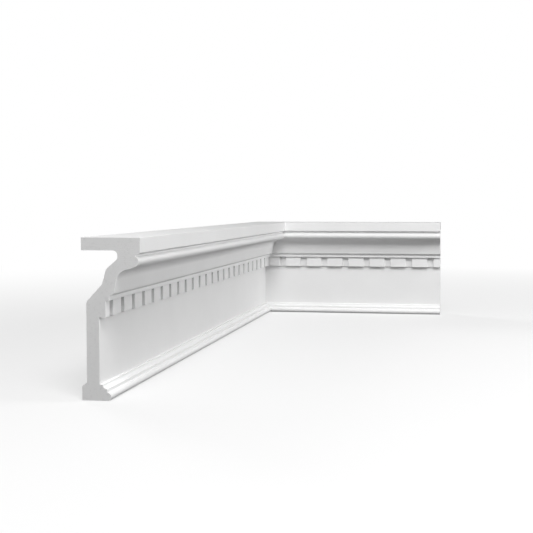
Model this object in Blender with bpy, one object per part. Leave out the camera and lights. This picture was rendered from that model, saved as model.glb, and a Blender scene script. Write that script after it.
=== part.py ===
"""Dentil wall moulding of coated rigid foam: two lengths mitred into an inside corner.

Each length is one hollow-backed moulding. Its section is a flat outline run along the wall, with
its row of dentils joined on, then sawn square at the outer end and at 45 degrees at the corner.
Metres, +Z up. The long length runs along Y with its back at -X, the short one along X with its
back at +Y, and the origin is under the middle of the box that holds both.
"""
import math

import bmesh
import bpy
from mathutils import Matrix, Vector

# The two lengths, each from the corner of its back to its square end
LONG_LENGTH = 0.8844
SHORT_LENGTH = 0.3086
JOINT_GAP = 0.0003
HEIGHT = 0.151

# Cap: a flat fascia, cut back underneath to a quirk, and the bead under that
CAP_DEPTH = 0.0565
CAP_FACE = 0.0140
QUIRK_SETBACK = 0.0046
QUIRK_DROP = 0.0019
BEAD_RADIUS = 0.0049
BEAD_SETBACK = 0.0063
BEAD_DROP = 0.0079
BEAD_START = math.radians(69)
BEAD_END = math.radians(-75)

# Cove under the bead, the neck that falls back below it and the rounded lip over the listel
COVE_DEPTH = 0.0333
COVE_RADIUS = 0.0130
COVE_DROP = 0.0200
COVE_START = math.radians(92)
COVE_END = math.radians(168)
NECK_DEPTH = 0.0309
NECK_DROP = 0.0099
LIP_RADIUS = 0.0020
LIP_DROP = 0.0024

# Listel, and the dentil band under it
LISTEL_DEPTH = 0.0267
LISTEL_FACE = 0.0039
BAND_DEPTH = 0.0194
BAND_FACE = 0.0156
DENTIL_DEPTH = 0.0234
DENTIL_WIDTH = 0.0250
DENTIL_GAP = 0.0100
DENTIL_LIP = 0.0003
DENTIL_ROOT = 0.0010
LONG_CORNER_BLOCK = 0.0575
SHORT_CORNER_BLOCK = 0.0425

# Plain field and the stepped foot
FIELD_DEPTH = 0.0171
FOOT_HEIGHT = 0.0150
STEP_DEPTH = 0.0029
STEP_FACE = 0.0013
SCOTIA_DEPTH = 0.0043
SCOTIA_FACE = 0.0028
TOE_RADIUS = 0.0040
TOE_OVERHANG = 0.0037
TOE_START = math.radians(83)
TOE_END = math.radians(-72)

# Hollow in the back: a shallow channel behind the field, deeper behind the cap
WALL = 0.0125
FLANGE = 0.0120
REAR_FOOT = 0.0133
REAR_FOOT_SLOPE = 0.0033
CAP_SOLID = 0.0217
COVE_WALL = 0.0133
NECK_TAPER = 0.0038
NECK_RISE = 0.0138
NECK_SILL = 0.0010
SHOULDER_DROP = 0.0014
NOSE_RISE = 0.0024
SHOULDER_RADIUS = 0.0060
SILL_RADIUS = 0.0040
NOSE_RADIUS = 0.0044

# How finely arcs are cut, which edges stay sharp, and how far waste runs past a saw cut
ARC_STEP = math.radians(12)
SHARP_ANGLE = math.radians(20)
WELD_DISTANCE = 0.00001
WASTE = 0.030

# Factory primer coat
COAT_COLOUR = (0.86, 0.86, 0.85, 1.0)
COAT_ROUGHNESS = 0.55

# Heights worked down from the top
CAP_BOTTOM = HEIGHT - CAP_FACE
BEAD_HEIGHT = CAP_BOTTOM - BEAD_DROP
COVE_HEIGHT = BEAD_HEIGHT - COVE_DROP
NECK_FOOT = COVE_HEIGHT - NECK_DROP
LISTEL_TOP = NECK_FOOT - LIP_DROP
LISTEL_BOTTOM = LISTEL_TOP - LISTEL_FACE
BAND_BOTTOM = LISTEL_BOTTOM - BAND_FACE
TOE_HEIGHT = -TOE_RADIUS * math.sin(TOE_END)


def clear_scene():
    for thing in list(bpy.data.objects):
        bpy.data.objects.remove(thing, do_unlink=True)


def arc(centre, radius, start, end):
    """Points along a circle from one angle to another."""
    steps = max(2, math.ceil(abs(end - start) / ARC_STEP))
    angles = [start + (end - start) * i / steps for i in range(steps + 1)]
    return [centre + radius * Vector((math.cos(a), math.sin(a))) for a in angles]


def hanging_arc(start, end):
    """Points of a hollow arc that leaves its start steeply and ends level."""
    width = end.x - start.x
    drop = start.y - end.y
    radius = (width ** 2 + drop ** 2) / (2 * drop)
    centre = end + Vector((0, radius))
    first = start - centre
    return arc(centre, radius, math.atan2(first.y, first.x), -math.pi / 2)


def fillet(before, corner, after, radius):
    """Points that round the corner between two straight stretches."""
    back = (before - corner).normalized()
    on = (after - corner).normalized()
    half = back.angle(on) / 2
    centre = corner + (back + on).normalized() * radius / math.sin(half)
    first = corner + back * radius / math.tan(half) - centre
    turn = math.pi - 2 * half
    if back.x * on.y - back.y * on.x > 0:
        turn = -turn
    start = math.atan2(first.y, first.x)
    return arc(centre, radius, start, start + turn)


def front_outline():
    """Face of the moulding from the top front arris down to the underside, as (depth, height)."""
    bead_centre = Vector((CAP_DEPTH - BEAD_SETBACK, BEAD_HEIGHT))
    cove_centre = Vector((COVE_DEPTH + COVE_RADIUS, COVE_HEIGHT))
    neck_foot = Vector((NECK_DEPTH, NECK_FOOT))
    listel_top = Vector((LISTEL_DEPTH, LISTEL_TOP))
    step_front = FIELD_DEPTH + STEP_DEPTH
    scotia_start = Vector((step_front, FOOT_HEIGHT - STEP_FACE))
    scotia_end = scotia_start + Vector((SCOTIA_DEPTH, -SCOTIA_FACE))
    toe_centre = Vector((scotia_end.x + TOE_OVERHANG - TOE_RADIUS, TOE_HEIGHT))

    points = [Vector((CAP_DEPTH, HEIGHT)), Vector((CAP_DEPTH, CAP_BOTTOM))]
    points += [Vector((CAP_DEPTH - QUIRK_SETBACK, CAP_BOTTOM - QUIRK_DROP))]
    points += arc(bead_centre, BEAD_RADIUS, BEAD_START, BEAD_END)
    points += arc(cove_centre, COVE_RADIUS, COVE_START, COVE_END)
    points += fillet(points[-1], neck_foot, listel_top, LIP_RADIUS)
    points += [listel_top, Vector((LISTEL_DEPTH, LISTEL_BOTTOM))]
    points += [Vector((BAND_DEPTH, LISTEL_BOTTOM)), Vector((BAND_DEPTH, BAND_BOTTOM))]
    points += [Vector((FIELD_DEPTH, BAND_BOTTOM)), Vector((FIELD_DEPTH, FOOT_HEIGHT))]
    points += [Vector((step_front, FOOT_HEIGHT))]
    points += hanging_arc(scotia_start, scotia_end)
    points += arc(toe_centre, TOE_RADIUS, TOE_START, TOE_END)
    return points


def back_outline():
    """Back of the moulding from the underside up to the top, round the hollow."""
    channel = FIELD_DEPTH - WALL
    sill = COVE_DEPTH - COVE_WALL
    nose = CAP_DEPTH - CAP_SOLID
    sill_height = COVE_HEIGHT - NECK_SILL
    foot = Vector((channel, REAR_FOOT + REAR_FOOT_SLOPE))
    shoulder = Vector((channel, LISTEL_BOTTOM - SHOULDER_DROP))
    neck_low = Vector((sill, sill_height))
    neck_high = Vector((sill + NECK_TAPER, sill_height + NECK_RISE))
    nose_low = Vector((nose, BEAD_HEIGHT + NOSE_RISE))
    nose_high = Vector((nose, HEIGHT - FLANGE))
    flange = Vector((0, HEIGHT - FLANGE))

    points = [Vector((0, 0)), Vector((0, REAR_FOOT)), foot]
    points += fillet(foot, shoulder, neck_low, SHOULDER_RADIUS)
    points += fillet(shoulder, neck_low, neck_high, SILL_RADIUS)
    points += fillet(neck_low, neck_high, nose_low, SHOULDER_RADIUS)
    points += fillet(neck_high, nose_low, nose_high, SILL_RADIUS)
    points += fillet(nose_low, nose_high, flange, NOSE_RADIUS)
    points += [flange, Vector((0, HEIGHT))]
    return points


def coat_material(name):
    material = bpy.data.materials.new(name)
    material.use_nodes = True
    shader = material.node_tree.nodes["Principled BSDF"]
    shader.inputs["Base Color"].default_value = COAT_COLOUR
    shader.inputs["Roughness"].default_value = COAT_ROUGHNESS
    shader.inputs["Metallic"].default_value = 0.0
    return material


def moulding_blank(name, length, side, holder, collection):
    """The section run along the wall, from WASTE past the corner to WASTE past the square end."""
    outline = front_outline() + back_outline()
    curve = bpy.data.curves.new(name + "_outline", "CURVE")
    curve.dimensions = "2D"
    curve.fill_mode = "BOTH"
    curve.extrude = length / 2 + WASTE
    spline = curve.splines.new("POLY")
    spline.points.add(len(outline) - 1)
    for point, place in zip(spline.points, outline):
        point.co = (place.x, place.y, 0, 1)
    spline.use_cyclic_u = True

    drawn = bpy.data.objects.new(name + "_outline", curve)
    drawn.parent = holder
    drawn.location = (0, side * length / 2, 0)
    drawn.rotation_euler = (math.pi / 2, 0, 0)
    collection.objects.link(drawn)
    bpy.context.view_layer.update()
    evaluated = drawn.evaluated_get(bpy.context.evaluated_depsgraph_get())
    mesh = bpy.data.meshes.new_from_object(evaluated)
    mesh.name = name
    weld_caps(mesh)
    mesh.shade_smooth()
    mesh.set_sharp_from_angle(angle=SHARP_ANGLE)

    blank = bpy.data.objects.new(name, mesh)
    collection.objects.link(blank)
    blank.parent = holder
    blank.matrix_world = drawn.matrix_world
    bpy.data.objects.remove(drawn, do_unlink=True)
    mesh.materials.clear()
    mesh.materials.append(coat_material(name + "_coat"))
    return blank


def weld_caps(mesh):
    bm = bmesh.new()
    bm.from_mesh(mesh)
    bmesh.ops.remove_doubles(bm, verts=bm.verts, dist=WELD_DISTANCE)
    bmesh.ops.recalc_face_normals(bm, faces=bm.faces)
    bm.to_mesh(mesh)
    bm.free()


def tool_object(name, boxes, holder, collection, turn=0.0):
    """Boxes, each given by two opposite corners, in one object that cuts or joins a length."""
    bm = bmesh.new()
    for first, second in boxes:
        centre = (Vector(first) + Vector(second)) / 2
        size = [abs(b - a) for a, b in zip(first, second)]
        place = Matrix.Translation(centre) @ Matrix.Diagonal((*size, 1))
        bmesh.ops.create_cube(bm, size=1, matrix=place)
    mesh = bpy.data.meshes.new(name)
    bm.to_mesh(mesh)
    bm.free()
    tool = bpy.data.objects.new(name, mesh)
    tool.parent = holder
    tool.rotation_euler = (0, 0, turn)
    tool.hide_render = True
    tool.display_type = "WIRE"
    collection.objects.link(tool)
    return tool


def dentil_boxes(length, corner_block, side):
    """The block at the corner, then a dentil at every step until past the square end."""
    low = BAND_BOTTOM - DENTIL_LIP
    high = LISTEL_BOTTOM + DENTIL_ROOT
    root = BAND_DEPTH - DENTIL_ROOT
    spans = [(-WASTE / 2, corner_block)]
    start = corner_block + DENTIL_GAP
    while start < length:
        spans.append((start, start + DENTIL_WIDTH))
        start += DENTIL_WIDTH + DENTIL_GAP
    return [((root, side * near, low), (DENTIL_DEPTH, side * far, high)) for near, far in spans]


def square_saw_box(length, side):
    """Waste beyond the square end."""
    low = (-WASTE, side * length, -WASTE)
    high = (CAP_DEPTH + WASTE, side * (length + 2 * WASTE), HEIGHT + WASTE)
    return low, high


def mitre_saw_box():
    """Waste beyond the mitre, in a frame whose X axis is square to the cut."""
    reach = 2 * (CAP_DEPTH + WASTE)
    return (-JOINT_GAP / 2, -reach, -WASTE), (reach, reach, HEIGHT + WASTE)


def use_tool(target, tool, operation):
    step = target.modifiers.new(tool.name, "BOOLEAN")
    step.operation = operation
    step.solver = "EXACT"
    step.object = tool


def make_length(name, length, corner_block, side, holder, collection, tools):
    """One length with its back on X = 0, running from the corner to the given side along Y."""
    blank = moulding_blank(name, length, side, holder, collection)
    dentils = tool_object(name + "_dentils", dentil_boxes(length, corner_block, side), holder, tools)
    square = tool_object(name + "_square_saw", [square_saw_box(length, side)], holder, tools)
    mitre = tool_object(name + "_mitre_saw", [mitre_saw_box()], holder, tools, -side * math.pi / 4)
    use_tool(blank, dentils, "UNION")
    use_tool(blank, square, "DIFFERENCE")
    use_tool(blank, mitre, "DIFFERENCE")


def wall_line(name, turn, collection):
    """Empty at the corner of the backs, turned so that its X axis stands off one wall."""
    line = bpy.data.objects.new(name, None)
    line.location = (-SHORT_LENGTH / 2, LONG_LENGTH / 2, 0)
    line.rotation_euler = (0, 0, turn)
    collection.objects.link(line)
    return line


def main():
    clear_scene()
    parts = bpy.data.collections.new("dentil_moulding")
    tools = bpy.data.collections.new("cutters")
    bpy.context.scene.collection.children.link(parts)
    bpy.context.scene.collection.children.link(tools)
    left_wall = wall_line("left_wall_line", 0, parts)
    back_wall = wall_line("back_wall_line", -math.pi / 2, parts)
    make_length("long_length", LONG_LENGTH, LONG_CORNER_BLOCK, -1, left_wall, parts, tools)
    make_length("short_length", SHORT_LENGTH, SHORT_CORNER_BLOCK, 1, back_wall, parts, tools)


main()
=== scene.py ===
"""Dentil wall moulding of primed rigid foam: the finished look of its two mitred lengths.

Each length is made fine: its section has smooth arcs, every moulded arris is softened, and the
sawn ends are flat and show the bare foam inside its coat. The frame is in metres, +Z up. The long
length runs along Y with its back at -X, and the short one runs along X with its back at +Y.
"""
import math

import bmesh
import bpy
from bpy.props import FloatProperty, FloatVectorProperty, IntProperty, PointerProperty
from mathutils import Matrix, Vector


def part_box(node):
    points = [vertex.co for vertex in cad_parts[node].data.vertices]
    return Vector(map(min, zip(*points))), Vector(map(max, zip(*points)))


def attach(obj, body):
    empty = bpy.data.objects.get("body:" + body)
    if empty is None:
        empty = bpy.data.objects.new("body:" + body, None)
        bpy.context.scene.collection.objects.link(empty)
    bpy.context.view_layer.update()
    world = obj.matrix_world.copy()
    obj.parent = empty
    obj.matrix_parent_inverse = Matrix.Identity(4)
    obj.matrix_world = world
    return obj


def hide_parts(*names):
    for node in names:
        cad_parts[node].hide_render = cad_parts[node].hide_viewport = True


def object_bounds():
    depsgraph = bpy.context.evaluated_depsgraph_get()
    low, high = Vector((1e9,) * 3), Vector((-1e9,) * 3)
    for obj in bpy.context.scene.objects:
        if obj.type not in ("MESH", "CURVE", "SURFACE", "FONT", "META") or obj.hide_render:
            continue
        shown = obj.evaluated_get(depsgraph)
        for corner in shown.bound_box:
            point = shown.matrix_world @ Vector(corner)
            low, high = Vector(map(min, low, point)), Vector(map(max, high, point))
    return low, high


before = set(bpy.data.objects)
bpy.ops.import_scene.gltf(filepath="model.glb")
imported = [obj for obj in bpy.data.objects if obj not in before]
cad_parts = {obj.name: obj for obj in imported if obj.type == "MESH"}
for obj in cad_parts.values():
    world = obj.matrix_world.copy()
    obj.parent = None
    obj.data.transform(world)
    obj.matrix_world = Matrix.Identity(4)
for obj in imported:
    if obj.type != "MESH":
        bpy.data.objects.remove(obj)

bl_info = {
    "name": "Dentil Wall Moulding",
    "version": (1, 0, 0),
    "blender": (4, 5, 0),
    "location": "3D View > Sidebar > Moulding",
    "description": "Builds a hollow-backed dentil moulding in two mitred lengths, with a plain stage",
    "category": "Add Mesh",
}

# The plain solids give the size and place of everything
CAD_LOW, CAD_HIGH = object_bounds()
LONG_LOW, LONG_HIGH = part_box("long_length")
SHORT_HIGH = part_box("short_length")[1]
CORNER = Vector((LONG_LOW.x, SHORT_HIGH.y, LONG_LOW.z))
BODY = "root"
MERGE_DISTANCE = 0.000001
COAT, FOAM = 0, 1
WAVE_TURNS = 20          # radians that a wave texture turns over one unit of its scale
SENSOR_WIDTH = 36.0      # millimetres
FLOOR_DROP = 0.0002      # keeps the floor clear of the moulding's underside
LEAST_ARC_STEPS = 2

# How finely each noise is broken up, and the part of its range that is spread out
DRIFT_DETAIL = 3.0
DRIFT_RANGE = (0.35, 0.65)
STIPPLE_DETAIL = 2.0
STIPPLE_RANGE = (0.3, 0.7)
PORE_DETAIL = 4.0
PORE_RANGE = (0.55, 0.80)
CELL_WALL_RANGE = (0.15, 0.75)
SAW_WANDER = 2.0


def length_property(name, description, default):
    """A size in metres that a user can change."""
    return FloatProperty(
        name=name, description=description, default=default, min=0.0,
        precision=5, subtype="DISTANCE", unit="LENGTH")


def angle_property(name, description, degrees):
    return FloatProperty(
        name=name, description=description, default=math.radians(degrees),
        subtype="ANGLE", unit="ROTATION")


def share_property(name, description, default):
    return FloatProperty(
        name=name, description=description, default=default, min=0.0, max=1.0, subtype="FACTOR")


def colour_property(name, description, default):
    return FloatVectorProperty(
        name=name, description=description, default=default, size=3,
        min=0.0, max=1.0, subtype="COLOR")


class RunSizes(bpy.types.PropertyGroup):
    """The two lengths, and the step of the dentils along them."""
    long_length: length_property(
        "Long length", "From the corner of the backs to the square end", CORNER.y - LONG_LOW.y)
    short_length: length_property(
        "Short length", "From the corner of the backs to the square end", SHORT_HIGH.x - CORNER.x)
    mitre_gap: length_property("Mitre gap", "Between the two mitred ends", 0.00002)
    dentil_width: length_property("Dentil width", "Along the moulding", 0.0250)
    dentil_gap: length_property("Dentil gap", "Between two dentils", 0.0100)
    long_corner_block: length_property(
        "Long corner block", "From the corner to the first gap of the long length", 0.0575)
    short_corner_block: length_property(
        "Short corner block", "From the corner to the first gap of the short length", 0.0425)


class SectionSizes(bpy.types.PropertyGroup):
    """The face of the moulding, worked down from the top front arris."""
    height: length_property("Height", "Whole height of the section", LONG_HIGH.z - LONG_LOW.z)
    cap_depth: length_property("Cap depth", "Whole depth of the section", LONG_HIGH.x - LONG_LOW.x)
    cap_face: length_property("Cap face", "Height of the flat fascia", 0.0140)
    quirk_setback: length_property("Quirk setback", "Of the quirk's corner from the cap", 0.0046)
    quirk_drop: length_property("Quirk drop", "Of the quirk's corner below the cap", 0.0019)
    bead_radius: length_property("Bead radius", "Of the bead under the cap", 0.0049)
    bead_setback: length_property("Bead setback", "Of the bead's centre from the cap", 0.0063)
    bead_drop: length_property("Bead drop", "Of the bead's centre below the cap", 0.0079)
    bead_start: angle_property("Bead start", "Where the bead's arc starts", 69)
    bead_end: angle_property("Bead end", "Where the bead's arc ends", -75)
    cove_depth: length_property("Cove depth", "Of the back of the cove under the bead", 0.0333)
    cove_radius: length_property("Cove radius", "Of the cove under the bead", 0.0130)
    cove_drop: length_property("Cove drop", "Of the cove's centre below the bead's", 0.0200)
    cove_start: angle_property("Cove start", "Where the cove's arc starts", 92)
    cove_end: angle_property("Cove end", "Where the cove runs into the straight neck", 168)
    neck_depth: length_property("Neck depth", "Of the neck's foot", 0.0309)
    neck_drop: length_property("Neck drop", "Of the neck's foot below the cove's centre", 0.0099)
    lip_radius: length_property("Lip radius", "Of the rounded lip under the neck", 0.0020)
    lip_drop: length_property("Lip drop", "From the neck's foot down to the listel", 0.0024)
    listel_depth: length_property("Listel depth", "Of the fillet over the dentils", 0.0267)
    listel_face: length_property("Listel face", "Height of the fillet over the dentils", 0.0039)
    band_depth: length_property("Band depth", "Of the ground between the dentils", 0.0194)
    band_face: length_property("Band face", "Height of the dentils", 0.0156)
    dentil_depth: length_property("Dentil depth", "Of the dentils' faces", 0.0234)
    field_depth: length_property("Field depth", "Of the plain field", 0.0171)
    foot_height: length_property("Foot height", "Up to the step over the foot", 0.0150)
    step_depth: length_property("Step depth", "Of the step over the foot", 0.0029)
    step_face: length_property("Step face", "Height of the step", 0.0013)
    scotia_depth: length_property("Scotia depth", "Of the small hollow in the foot", 0.0043)
    scotia_face: length_property("Scotia face", "Height of the small hollow", 0.0028)
    toe_radius: length_property("Toe radius", "Of the round at the foot", 0.0040)
    toe_overhang: length_property("Toe overhang", "Of the round past the small hollow", 0.0037)
    toe_start: angle_property("Toe start", "Where the round starts", 83)
    toe_end: angle_property("Toe end", "Where the round meets the underside", -72)


class HollowSizes(bpy.types.PropertyGroup):
    """The back of the moulding: two flat strips that are glued, and the hollow between them."""
    wall: length_property("Foam thickness", "Behind the plain field", 0.0125)
    flange: length_property("Back flange", "Height of the upper glued strip", 0.0120)
    rear_foot: length_property("Back foot", "Height of the lower glued strip", 0.0133)
    rear_foot_slope: length_property("Back foot slope", "Rise from the foot into the hollow", 0.0033)
    cap_solid: length_property("Cap thickness", "From the cap's face to the hollow", 0.0217)
    cove_wall: length_property("Cove thickness", "Of the foam behind the cove", 0.0133)
    neck_taper: length_property("Neck taper", "Of the hollow behind the neck", 0.0038)
    neck_rise: length_property("Neck rise", "Of the hollow behind the neck", 0.0138)
    neck_sill: length_property("Neck sill", "Of the hollow below the cove's centre", 0.0010)
    shoulder_drop: length_property("Shoulder drop", "Of the hollow below the listel", 0.0014)
    nose_rise: length_property("Nose rise", "Of the hollow above the bead's centre", 0.0024)
    shoulder_radius: length_property("Shoulder radius", "Of the hollow's outer bends", 0.0060)
    sill_radius: length_property("Sill radius", "Of the hollow's inner bends", 0.0040)
    nose_radius: length_property("Nose radius", "Of the hollow under the flange", 0.0044)


class FinenessSizes(bpy.types.PropertyGroup):
    """How soft the moulded arrises are, and how finely round forms are cut."""
    arris_radius: length_property("Arris radius", "Of the moulded edges", 0.00035)
    arris_steps: IntProperty(
        name="Arris steps", description="Faces across a softened edge", default=3, min=1, max=8)
    arc_step: angle_property("Arc step", "Turn from one face of an arc to the next", 6)
    arris_angle: angle_property("Arris angle", "Least turn that counts as an edge", 25)
    crease_angle: angle_property("Crease angle", "Least turn that is shaded sharp", 40)
    coat_edge: length_property("Coat edge", "Rim of coat seen round a sawn end", 0.00030)


class FinishLook(bpy.types.PropertyGroup):
    """The sprayed primer coat, and the bare foam of a sawn end."""
    coat: colour_property("Coat", "Colour of the primer coat", (0.77, 0.77, 0.77))
    coat_shade: colour_property("Coat shade", "Where the coat is thinner", (0.75, 0.75, 0.75))
    coat_roughness: share_property("Coat roughness", "Of the matt primer coat", 0.52)
    coat_sheen_drift: share_property(
        "Coat sheen drift", "How far the roughness strays either way", 0.05)
    coat_grain: length_property("Coat grain", "Size of the spray's stipple", 0.0012)
    coat_relief: length_property("Coat relief", "Height of the spray's stipple", 0.000012)
    coat_drift: length_property("Coat drift", "Size of the slow changes in the coat", 0.060)
    foam: colour_property("Foam", "Colour of the sawn foam", (0.61, 0.61, 0.61))
    foam_pore: colour_property("Foam pore", "Colour inside the cut cells", (0.54, 0.54, 0.54))
    foam_roughness: share_property("Foam roughness", "Of the sawn foam", 0.85)
    foam_gloss: share_property("Foam gloss", "Strength of the foam's faint reflections", 0.25)
    foam_cell: length_property("Foam cell", "Size of the cut cells", 0.00045)
    foam_relief: length_property("Foam relief", "Depth of the cut cells", 0.00008)
    pore_patch: length_property("Pore patch", "Size of the patches of larger pores", 0.0027)
    saw_pitch: length_property("Saw pitch", "Between two strokes of the saw", 0.0018)
    saw_relief: length_property("Saw relief", "Depth of the saw's strokes", 0.00002)


class StageLook(bpy.types.PropertyGroup):
    """The camera's place from the corner of the backs, the floor and the soft light."""
    camera_place: FloatVectorProperty(
        name="Camera place", description="From the foot of the corner of the backs",
        default=(0.34722, -1.85530, 0.18221), subtype="TRANSLATION", unit="LENGTH")
    camera_pitch: angle_property("Camera pitch", "Below the horizon", 3.270)
    camera_turn: angle_property("Camera turn", "Turned left of the short length's back", 10.145)
    camera_lens: FloatProperty(
        name="Lens", description="Focal length on a sensor 36 mm wide, in millimetres",
        default=74.74, min=10.0, max=300.0, unit="CAMERA")
    floor_colour: colour_property("Floor", "Colour of the pale floor", (0.72, 0.72, 0.72))
    floor_bounce: colour_property(
        "Floor bounce", "How much light the floor sends back up", (0.17, 0.17, 0.17))
    # Painted light: near the moulding the floor glows with this share of the backdrop's white, for the
    # camera only, which lightens the shadows cast on the floor.
    near_floor_glow: share_property(
        "Floor veil", "Share of the backdrop's white that the nearest floor takes on", 0.55)
    floor_reach: length_property("Floor reach", "Half the floor's side", 40.0)
    fade_start: length_property("Fade start", "Where the floor starts to fade into the backdrop", 0.5)
    fade_end: length_property("Fade end", "Where the floor is the backdrop's colour", 1.8)
    backdrop: colour_property("Backdrop", "Colour of the empty background", (1.0, 1.0, 1.0))
    sky: FloatProperty(
        name="Sky", description="Brightness of the wide light behind the viewer",
        default=1.05, min=0.0)
    key_place: FloatVectorProperty(
        name="Key light place", description="From the foot of the corner of the backs",
        default=(0.5, -1.7, 1.4), subtype="TRANSLATION", unit="LENGTH")
    key_power: FloatProperty(
        name="Key light power", description="Of the soft box above the viewer",
        default=28.0, min=0.0, subtype="POWER", unit="POWER")
    side_place: FloatVectorProperty(
        name="Side light place", description="From the foot of the corner of the backs",
        default=(1.6, -0.4, 0.6), subtype="TRANSLATION", unit="LENGTH")
    side_power: FloatProperty(
        name="Side light power", description="Of the soft box on the right",
        default=17.8, min=0.0, subtype="POWER", unit="POWER")
    back_place: FloatVectorProperty(
        name="Back light place", description="From the foot of the corner of the backs",
        default=(-1.6, 1.3, 1.1), subtype="TRANSLATION", unit="LENGTH")
    back_power: FloatProperty(
        name="Back light power", description="Of the soft box that lights the two backs",
        default=30.0, min=0.0, subtype="POWER", unit="POWER")
    box_size: length_property("Soft box size", "Side of each soft box", 0.8)


GROUPS = {
    "run": RunSizes, "section": SectionSizes, "hollow": HollowSizes,
    "fineness": FinenessSizes, "finish": FinishLook, "stage": StageLook,
}


class MouldingSettings(bpy.types.PropertyGroup):
    """Everything that a user can change."""
    run: PointerProperty(type=RunSizes, name="Lengths", description="The two lengths")
    section: PointerProperty(type=SectionSizes, name="Section", description="The moulding's face")
    hollow: PointerProperty(type=HollowSizes, name="Hollow", description="The moulding's back")
    fineness: PointerProperty(type=FinenessSizes, name="Fineness", description="Edges and arcs")
    finish: PointerProperty(type=FinishLook, name="Finish", description="Coat and bare foam")
    stage: PointerProperty(type=StageLook, name="Stage", description="Camera, floor and light")


def arc(centre, radius, start, end, arc_step):
    """Points along a circle from one angle to another."""
    steps = max(LEAST_ARC_STEPS, math.ceil(abs(end - start) / arc_step))
    angles = [start + (end - start) * i / steps for i in range(steps + 1)]
    return [centre + radius * Vector((math.cos(a), math.sin(a))) for a in angles]


def hanging_arc(start, end, arc_step):
    """Points of a hollow arc that leaves its start steeply and ends level."""
    width = end.x - start.x
    drop = start.y - end.y
    radius = (width ** 2 + drop ** 2) / (2 * drop)
    centre = end + Vector((0, radius))
    first = start - centre
    return arc(centre, radius, math.atan2(first.y, first.x), -math.pi / 2, arc_step)


def fillet(before, corner, after, radius, arc_step):
    """Points that round the corner between two straight stretches."""
    back = (before - corner).normalized()
    on = (after - corner).normalized()
    half = back.angle(on) / 2
    centre = corner + (back + on).normalized() * radius / math.sin(half)
    first = corner + back * radius / math.tan(half) - centre
    turn = math.pi - 2 * half
    if back.x * on.y - back.y * on.x > 0:
        turn = -turn
    start = math.atan2(first.y, first.x)
    return arc(centre, radius, start, start + turn, arc_step)


def same_all_along(points):
    """Section points as (depth on a dentil, depth in a gap, height), the two depths alike."""
    return [(p.x, p.x, p.y) for p in points]


def upper_face(section, arc_step):
    """Cap, bead, cove, neck, lip and listel, from the top front arris down."""
    cap_bottom = section.height - section.cap_face
    bead_centre = Vector((section.cap_depth - section.bead_setback, cap_bottom - section.bead_drop))
    cove_centre = Vector((section.cove_depth + section.cove_radius, bead_centre.y - section.cove_drop))
    neck_foot = Vector((section.neck_depth, cove_centre.y - section.neck_drop))
    listel_top = Vector((section.listel_depth, neck_foot.y - section.lip_drop))

    points = [Vector((section.cap_depth, section.height)), Vector((section.cap_depth, cap_bottom))]
    points += [Vector((section.cap_depth - section.quirk_setback, cap_bottom - section.quirk_drop))]
    points += arc(bead_centre, section.bead_radius, section.bead_start, section.bead_end, arc_step)
    points += arc(cove_centre, section.cove_radius, section.cove_start, section.cove_end, arc_step)
    points += fillet(points[-1], neck_foot, listel_top, section.lip_radius, arc_step)
    points += [listel_top, listel_top - Vector((0, section.listel_face))]
    return points


def dentil_band(section, top):
    """The band, whose middle stands at the dentils' depth or falls back in a gap."""
    bottom = top - section.band_face
    face = section.dentil_depth
    ground = section.band_depth
    return [(face, face, top), (face, ground, top), (face, ground, bottom), (ground, ground, bottom)]


def lower_face(section, top, arc_step):
    """Field, step, scotia and toe, down to the underside."""
    step_front = section.field_depth + section.step_depth
    scotia_start = Vector((step_front, section.foot_height - section.step_face))
    scotia_end = scotia_start + Vector((section.scotia_depth, -section.scotia_face))
    toe_centre = Vector((
        scotia_end.x + section.toe_overhang - section.toe_radius,
        -section.toe_radius * math.sin(section.toe_end)))

    points = [Vector((section.field_depth, top)), Vector((section.field_depth, section.foot_height))]
    points += [Vector((step_front, section.foot_height))]
    points += hanging_arc(scotia_start, scotia_end, arc_step)
    points += arc(toe_centre, section.toe_radius, section.toe_start, section.toe_end, arc_step)
    return points


def back_face(section, hollow, arc_step):
    """From the underside up the back and round the hollow to the top."""
    cap_bottom = section.height - section.cap_face
    bead_height = cap_bottom - section.bead_drop
    cove_height = bead_height - section.cove_drop
    listel_bottom = cove_height - section.neck_drop - section.lip_drop - section.listel_face
    channel = section.field_depth - hollow.wall
    sill = section.cove_depth - hollow.cove_wall
    nose = section.cap_depth - hollow.cap_solid
    sill_height = cove_height - hollow.neck_sill
    foot = Vector((channel, hollow.rear_foot + hollow.rear_foot_slope))
    shoulder = Vector((channel, listel_bottom - hollow.shoulder_drop))
    neck_low = Vector((sill, sill_height))
    neck_high = Vector((sill + hollow.neck_taper, sill_height + hollow.neck_rise))
    nose_low = Vector((nose, bead_height + hollow.nose_rise))
    nose_high = Vector((nose, section.height - hollow.flange))
    flange = Vector((0, section.height - hollow.flange))

    points = [Vector((0, 0)), Vector((0, hollow.rear_foot)), foot]
    points += fillet(foot, shoulder, neck_low, hollow.shoulder_radius, arc_step)
    points += fillet(shoulder, neck_low, neck_high, hollow.sill_radius, arc_step)
    points += fillet(neck_low, neck_high, nose_low, hollow.shoulder_radius, arc_step)
    points += fillet(neck_high, nose_low, nose_high, hollow.sill_radius, arc_step)
    points += fillet(nose_low, nose_high, flange, hollow.nose_radius, arc_step)
    points += [flange, Vector((0, section.height))]
    return points


def whole_section(settings):
    """The closed outline of the moulding, each point with its two depths and its height."""
    section, arc_step = settings.section, settings.fineness.arc_step
    upper = upper_face(section, arc_step)
    band_top = upper[-1].y
    points = same_all_along(upper)
    points += dentil_band(section, band_top)
    points += same_all_along(lower_face(section, band_top - section.band_face, arc_step))
    points += same_all_along(back_face(section, settings.hollow, arc_step))
    return points


def ring_stations(length, corner_block, run):
    """Where the section is repeated, as (distance from the corner, in a gap)."""
    rings = [(0.0, False)]
    near = corner_block
    while near < length:
        far = near + run.dentil_gap
        rings += [(near, False), (near, True)]
        if far < length:
            rings += [(far, True), (far, False)]
        near = far + run.dentil_width
    rings.append((length, rings[-1][1]))
    return rings


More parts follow.
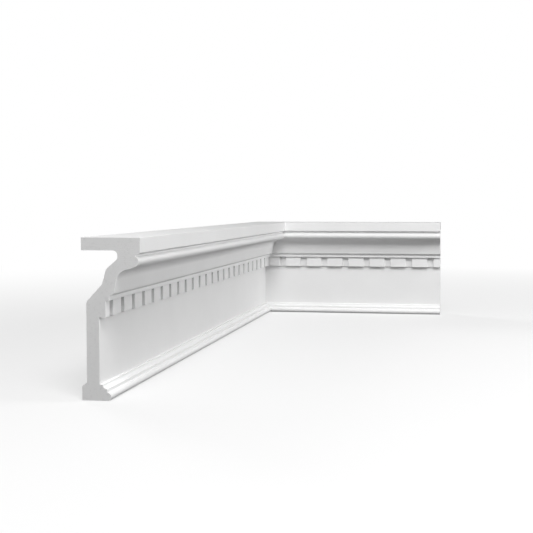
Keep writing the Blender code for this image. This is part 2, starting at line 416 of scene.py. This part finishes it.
def run_surface(bm, outline, rings, mitre_gap):
    """The open skin of a length, with its back on X = 0 and its run along +Y.

    A point never starts before the mitre, so the first rings fold onto that plane and merge."""
    rows = []
    for station, in_gap in rings:
        row = []
        for on_dentil, on_ground, height in outline:
            depth = on_ground if in_gap else on_dentil
            along = max(station, depth + mitre_gap / math.sqrt(2))
            row.append(bm.verts.new((depth, along, height)))
        rows.append(row)
    for row, following in zip(rows, rows[1:]):
        for i in range(len(outline)):
            bm.faces.new((row[i - 1], row[i], following[i], following[i - 1]))
    bmesh.ops.remove_doubles(bm, verts=bm.verts, dist=MERGE_DISTANCE)


def soften_arrises(bm, fineness):
    """Round each moulded edge; the open ends, which are sawn later, stay crisp."""
    arrises = [
        e for e in bm.edges
        if e.is_manifold and e.calc_face_angle() > fineness.arris_angle]
    bmesh.ops.bevel(
        bm, geom=arrises, offset=fineness.arris_radius, offset_type="OFFSET",
        segments=fineness.arris_steps, profile=0.5, affect="EDGES", clamp_overlap=False)
    bmesh.ops.remove_doubles(bm, verts=bm.verts, dist=MERGE_DISTANCE)


def close_ends(bm, fineness):
    """Flat sawn ends: bare foam inside a thin rim of the coat."""
    open_edges = [e for e in bm.edges if e.is_boundary]
    sawn = bmesh.ops.edgeloop_fill(bm, edges=open_edges)["faces"]
    for face in sawn:
        face.material_index = FOAM
    bmesh.ops.recalc_face_normals(bm, faces=bm.faces)
    rim = bmesh.ops.inset_region(
        bm, faces=sawn, thickness=fineness.coat_edge, use_even_offset=True, use_boundary=True)
    for face in rim["faces"]:
        face.material_index = COAT


def shade_evenly(piece, crease_angle):
    """Smooth shading that keeps flat faces flat beside their soft arrises."""
    piece.data.shade_smooth()
    piece.data.set_sharp_from_angle(angle=crease_angle)
    even = piece.modifiers.new("even_shading", "WEIGHTED_NORMAL")
    even.keep_sharp = True
    bpy.context.view_layer.update()
    evaluated = piece.evaluated_get(bpy.context.evaluated_depsgraph_get())
    finished = bpy.data.meshes.new_from_object(evaluated)
    rough = piece.data
    piece.modifiers.remove(even)
    piece.data = finished
    bpy.data.meshes.remove(rough)
    finished.name = piece.name


def make_length(name, node, length, corner_block, place, settings):
    """One finished length, moved by place to its corner, in the place of its plain solid."""
    bm = bmesh.new()
    rings = ring_stations(length, corner_block, settings.run)
    run_surface(bm, whole_section(settings), rings, settings.run.mitre_gap)
    soften_arrises(bm, settings.fineness)
    close_ends(bm, settings.fineness)
    bmesh.ops.transform(bm, matrix=place, verts=bm.verts)
    bmesh.ops.recalc_face_normals(bm, faces=bm.faces)
    mesh = bpy.data.meshes.new(name)
    bm.to_mesh(mesh)
    bm.free()
    mesh.materials.append(primer_coat(settings.finish))
    mesh.materials.append(sawn_foam(settings.finish))

    piece = bpy.data.objects.new(name, mesh)
    bpy.context.scene.collection.objects.link(piece)
    shade_evenly(piece, settings.fineness.crease_angle)
    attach(piece, BODY)
    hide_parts(node)
    return piece


def new_material(name):
    """A Principled material, with its node tree and its shader."""
    material = bpy.data.materials.new(name)
    material.use_nodes = True
    tree = material.node_tree
    return material, tree, tree.nodes["Principled BSDF"]


def add_node(tree, kind, **values):
    """A node of the given kind, with some of its sockets or settings set by name."""
    node = tree.nodes.new(kind)
    for key, value in values.items():
        if key in node.inputs:
            node.inputs[key].default_value = value
        else:
            setattr(node, key, value)
    return node


def noise(tree, where, size, detail):
    """Soft noise whose features are about the given size, in metres."""
    node = add_node(tree, "ShaderNodeTexNoise", Scale=1 / size, Detail=detail)
    tree.links.new(where, node.inputs["Vector"])
    return node.outputs["Fac"]


def spread_over(tree, source, low, high, least, most):
    """The source's values from low to high, stretched to run from least to most."""
    node = add_node(tree, "ShaderNodeMapRange")
    for socket, value in zip(("From Min", "From Max", "To Min", "To Max"), (low, high, least, most)):
        node.inputs[socket].default_value = value
    tree.links.new(source, node.inputs["Value"])
    return node.outputs["Result"]


def blend_colours(tree, share, first, second):
    """The first colour where share is 0, the second where it is 1."""
    node = add_node(tree, "ShaderNodeMix", data_type="RGBA")
    tree.links.new(share, node.inputs[0])
    ends = [socket for socket in node.inputs if socket.type == "RGBA"]
    for socket, colour in zip(ends, (first, second)):
        socket.default_value = (*colour, 1)
    return [socket for socket in node.outputs if socket.type == "RGBA"][0]


def raise_surface(tree, shader, height, distance, under=None):
    """A bump of the given height, over another one if there is one."""
    bump = add_node(tree, "ShaderNodeBump", Strength=1.0, Distance=distance)
    tree.links.new(height, bump.inputs["Height"])
    if under:
        tree.links.new(under, bump.inputs["Normal"])
    tree.links.new(bump.outputs["Normal"], shader.inputs["Normal"])
    return bump.outputs["Normal"]


def primer_coat(finish):
    """White matt primer, sprayed on: even, with a fine stipple and a faint drift in tone."""
    found = bpy.data.materials.get("white_primer_coat")
    if found:
        return found
    material, tree, shader = new_material("white_primer_coat")
    where = add_node(tree, "ShaderNodeTexCoord").outputs["Object"]
    drift = noise(tree, where, finish.coat_drift, DRIFT_DETAIL)
    stipple = noise(tree, where, finish.coat_grain, STIPPLE_DETAIL)
    thin = spread_over(tree, drift, *DRIFT_RANGE, 0.0, 1.0)
    tree.links.new(
        blend_colours(tree, thin, finish.coat, finish.coat_shade), shader.inputs["Base Color"])
    least = finish.coat_roughness - finish.coat_sheen_drift
    most = finish.coat_roughness + finish.coat_sheen_drift
    tree.links.new(
        spread_over(tree, stipple, *STIPPLE_RANGE, least, most), shader.inputs["Roughness"])
    raise_surface(tree, shader, stipple, finish.coat_relief)
    return material


def sawn_foam(finish):
    """Rigid foam cut across: fine cells, a few larger pores and the faint strokes of the saw."""
    found = bpy.data.materials.get("sawn_rigid_foam")
    if found:
        return found
    material, tree, shader = new_material("sawn_rigid_foam")
    where = add_node(tree, "ShaderNodeTexCoord").outputs["Object"]
    cells = add_node(tree, "ShaderNodeTexVoronoi", Scale=1 / finish.foam_cell)
    tree.links.new(where, cells.inputs["Vector"])
    walls = spread_over(tree, cells.outputs["Distance"], *CELL_WALL_RANGE, 0.0, 1.0)
    pores = noise(tree, where, finish.pore_patch, PORE_DETAIL)
    sparse = spread_over(tree, pores, *PORE_RANGE, 0.0, 1.0)
    tree.links.new(
        blend_colours(tree, sparse, finish.foam, finish.foam_pore), shader.inputs["Base Color"])
    shader.inputs["Roughness"].default_value = finish.foam_roughness
    shader.inputs["Specular IOR Level"].default_value = finish.foam_gloss
    strokes = add_node(
        tree, "ShaderNodeTexWave", bands_direction="Z",
        Scale=math.tau / (WAVE_TURNS * finish.saw_pitch), Distortion=SAW_WANDER)
    tree.links.new(where, strokes.inputs["Vector"])
    sawn = raise_surface(tree, shader, strokes.outputs["Fac"], finish.saw_relief)
    raise_surface(tree, shader, walls, finish.foam_relief, sawn)
    return material


def floor_material(stage):
    """Pale floor that sends up less light than it shows. To the camera it also glows with the
    backdrop's white: painted light, at a set share near the moulding, which lightens the shadows cast
    on it, rising to the whole white far off, where it fades into the backdrop.
    """
    material, tree, shader = new_material("pale_floor")
    path = add_node(tree, "ShaderNodeLightPath")
    tree.links.new(
        blend_colours(tree, path.outputs["Is Camera Ray"], stage.floor_bounce, stage.floor_colour),
        shader.inputs["Base Color"])
    shader.inputs["Roughness"].default_value = 1.0
    shader.inputs["Specular IOR Level"].default_value = 0.0

    # Painted light: the floor glows with the backdrop's white for camera rays only. The share of glow,
    # far below, grows with distance from the floor's centre, from the near share up to all of it.
    distance = add_node(tree, "ShaderNodeVectorMath", operation="LENGTH")
    tree.links.new(add_node(tree, "ShaderNodeTexCoord").outputs["Object"], distance.inputs[0])
    far = spread_over(
        tree, distance.outputs["Value"], stage.fade_start, stage.fade_end, stage.near_floor_glow, 1.0)
    glow_seen = add_node(tree, "ShaderNodeMath", operation="MULTIPLY")
    tree.links.new(far, glow_seen.inputs[0])
    tree.links.new(path.outputs["Is Camera Ray"], glow_seen.inputs[1])
    backdrop = add_node(tree, "ShaderNodeEmission", Color=(*stage.backdrop, 1))
    blend = add_node(tree, "ShaderNodeMixShader")
    tree.links.new(glow_seen.outputs["Value"], blend.inputs[0])
    tree.links.new(shader.outputs["BSDF"], blend.inputs[1])
    tree.links.new(backdrop.outputs["Emission"], blend.inputs[2])
    tree.links.new(blend.outputs["Shader"], tree.nodes["Material Output"].inputs["Surface"])
    return material


def make_floor(stage):
    bm = bmesh.new()
    bmesh.ops.create_grid(bm, x_segments=1, y_segments=1, size=stage.floor_reach)
    mesh = bpy.data.meshes.new("floor")
    bm.to_mesh(mesh)
    bm.free()
    mesh.materials.append(floor_material(stage))
    floor = bpy.data.objects.new("floor", mesh)
    floor.location = (0, 0, CAD_LOW.z - FLOOR_DROP)
    bpy.context.scene.collection.objects.link(floor)


def make_sky(stage):
    """Wide soft light that is strongest behind the viewer, with a plain white background."""
    world = bpy.data.worlds.new("soft_sky")
    bpy.context.scene.world = world
    world.use_nodes = True
    tree = world.node_tree
    tree.nodes.clear()
    light = add_node(tree, "ShaderNodeBackground")
    direction = add_node(tree, "ShaderNodeSeparateXYZ")
    tree.links.new(add_node(tree, "ShaderNodeTexCoord").outputs["Generated"], direction.inputs[0])
    tree.links.new(
        spread_over(tree, direction.outputs["Y"], -1.0, 0.0, stage.sky, 0.0), light.inputs["Strength"])
    plain = add_node(tree, "ShaderNodeBackground", Color=(*stage.backdrop, 1))
    path = add_node(tree, "ShaderNodeLightPath")
    seen = add_node(tree, "ShaderNodeMixShader")
    out = add_node(tree, "ShaderNodeOutputWorld")
    tree.links.new(path.outputs["Is Camera Ray"], seen.inputs[0])
    tree.links.new(light.outputs["Background"], seen.inputs[1])
    tree.links.new(plain.outputs["Background"], seen.inputs[2])
    tree.links.new(seen.outputs["Shader"], out.inputs["Surface"])


def make_soft_box(name, place, size, power):
    """A square light aimed at the middle of the moulding, which the camera itself doesn't see."""
    data = bpy.data.lights.new(name, "AREA")
    data.shape = "SQUARE"
    data.size = size
    data.energy = power
    lamp = bpy.data.objects.new(name, data)
    lamp.location = CORNER + Vector(place)
    middle = (CAD_LOW + CAD_HIGH) / 2
    lamp.rotation_euler = (middle - lamp.location).to_track_quat("-Z", "Y").to_euler()
    lamp.visible_camera = False
    bpy.context.scene.collection.objects.link(lamp)


def make_camera(stage):
    data = bpy.data.cameras.new("camera")
    data.sensor_width = SENSOR_WIDTH
    data.lens = stage.camera_lens
    camera = bpy.data.objects.new("camera", data)
    camera.location = CORNER + Vector(stage.camera_place)
    camera.rotation_euler = (math.pi / 2 - stage.camera_pitch, 0, stage.camera_turn)
    bpy.context.scene.collection.objects.link(camera)
    bpy.context.scene.camera = camera


class MOULDING_OT_long_length(bpy.types.Operator):
    """Build the long mitred length, which runs towards the viewer on the left"""
    bl_idname = "moulding.long_length"
    bl_label = "Long Length"
    bl_options = {"REGISTER", "UNDO"}

    def execute(self, context):
        settings = context.scene.moulding
        place = Matrix.Translation(CORNER) @ Matrix.Diagonal((1, -1, 1, 1))
        make_length("long_length_finished", "long_length", settings.run.long_length,
                    settings.run.long_corner_block, place, settings)
        return {"FINISHED"}


class MOULDING_OT_short_length(bpy.types.Operator):
    """Build the short mitred length, which runs to the right of the corner"""
    bl_idname = "moulding.short_length"
    bl_label = "Short Length"
    bl_options = {"REGISTER", "UNDO"}

    def execute(self, context):
        settings = context.scene.moulding
        place = Matrix.Translation(CORNER) @ Matrix.Rotation(-math.pi / 2, 4, "Z")
        make_length("short_length_finished", "short_length", settings.run.short_length,
                    settings.run.short_corner_block, place, settings)
        return {"FINISHED"}


class MOULDING_OT_stage(bpy.types.Operator):
    """Set up the camera, the pale floor and the soft lights"""
    bl_idname = "moulding.stage"
    bl_label = "Stage"
    bl_options = {"REGISTER", "UNDO"}

    def execute(self, context):
        stage = context.scene.moulding.stage
        make_camera(stage)
        make_floor(stage)
        make_sky(stage)
        make_soft_box("key_light", stage.key_place, stage.box_size, stage.key_power)
        make_soft_box("side_light", stage.side_place, stage.box_size, stage.side_power)
        make_soft_box("back_light", stage.back_place, stage.box_size, stage.back_power)
        context.scene.view_settings.view_transform = "Standard"
        return {"FINISHED"}


class MOULDING_PT_panel(bpy.types.Panel):
    """Sizes, finish and stage of the moulding"""
    bl_idname = "MOULDING_PT_panel"
    bl_label = "Dentil Moulding"
    bl_space_type = "VIEW_3D"
    bl_region_type = "UI"
    bl_category = "Moulding"

    def draw(self, context):
        layout = self.layout
        settings = context.scene.moulding
        for operator in OPERATORS:
            layout.operator(operator.bl_idname)
        for key, group in GROUPS.items():
            box = layout.box()
            box.label(text=settings.bl_rna.properties[key].name)
            for prop in group.__annotations__:
                box.prop(getattr(settings, key), prop)


OPERATORS = (MOULDING_OT_long_length, MOULDING_OT_short_length, MOULDING_OT_stage)
CLASSES = (*GROUPS.values(), MouldingSettings, *OPERATORS, MOULDING_PT_panel)


def register():
    for cls in CLASSES:
        bpy.utils.register_class(cls)
    bpy.types.Scene.moulding = PointerProperty(
        type=MouldingSettings, name="Moulding", description="Sizes and looks of the moulding")


def unregister():
    del bpy.types.Scene.moulding
    for cls in reversed(CLASSES):
        bpy.utils.unregister_class(cls)


def main():
    register()
    bpy.ops.moulding.long_length()
    bpy.ops.moulding.short_length()
    bpy.ops.moulding.stage()


if __name__ == "__main__":
    main()
